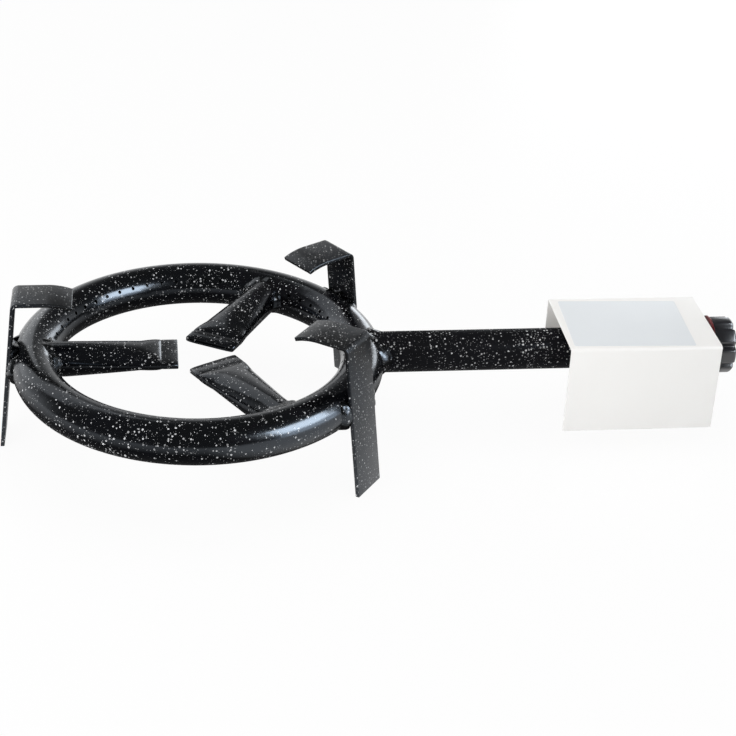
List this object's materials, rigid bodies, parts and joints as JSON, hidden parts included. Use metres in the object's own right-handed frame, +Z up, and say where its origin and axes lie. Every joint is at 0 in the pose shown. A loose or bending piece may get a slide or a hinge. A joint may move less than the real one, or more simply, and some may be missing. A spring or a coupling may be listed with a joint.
{
  "type": "paella burner",
  "caption": "Low ring gas burner for paella pans: speckled enamel tube ring with inward jets, strip legs that carry the pan, and a feed tube to a covered gas tap with a lobed knob.",
  "frame": {"origin": "on the floor under the centre of the ring", "axes": "+X along the feed tube towards the knob, +Z up, the feet stand on Z = 0"},
  "size_m": [0.4044, 0.2, 0.086],
  "materials": {
    "speckled_enamel": "gloss black vitreous enamel with white speckles",
    "strip_enamel": "black vitreous enamel with fine white speckles, a little duller on the flats",
    "weld_enamel": "gloss black enamel over a weld bead",
    "cover_paint": "warm white powder paint on folded sheet",
    "label_film": "pale satin film sticker, bare",
    "zinc_steel": "zinc plated",
    "tap_brass": "turned brass",
    "spring_steel": "bright steel",
    "fibre_washer": "matt fibre",
    "knob_plastic": "black moulded plastic, satin",
    "ring_plastic": "dark red moulded plastic"
  },
  "bodies": {
    "burner": {"ring_tube": "speckled_enamel", "feed_tube": "speckled_enamel", "jet_left": "speckled_enamel", "jet_back": "speckled_enamel", "jet_front": "speckled_enamel", "leg_left": "strip_enamel", "leg_back": "strip_enamel", "leg_front": "strip_enamel", "feed_weld": "weld_enamel", "jet_welds": "weld_enamel", "leg_welds": "weld_enamel", "tap_bracket": "strip_enamel", "bracket_weld": "weld_enamel", "cover": "cover_paint", "label": "label_film", "cover_studs": "zinc_steel", "stud_washers": "zinc_steel", "stud_nuts": "zinc_steel", "injector": "tap_brass", "tap_body": "tap_brass", "bonnet": "tap_brass", "bonnet_screws": "zinc_steel", "neck_washer": "zinc_steel", "neck_nut": "zinc_steel", "inlet_washer": "fibre_washer", "inlet_fitting": "tap_brass"},
    "tap_spindle": {"tap_plug": "tap_brass", "plug_spring": "spring_steel", "spindle": "spring_steel", "knob": "knob_plastic", "knob_ring": "ring_plastic", "knob_clip": "spring_steel"}
  },
  "joints": [
    {"name": "tap_turn", "type": "hinge", "parent": "burner", "child": "tap_spindle", "pos_m": [0.25, 0, 0.047], "axis": [1, 0, 0], "range_deg": [0, 180]}
  ]
}
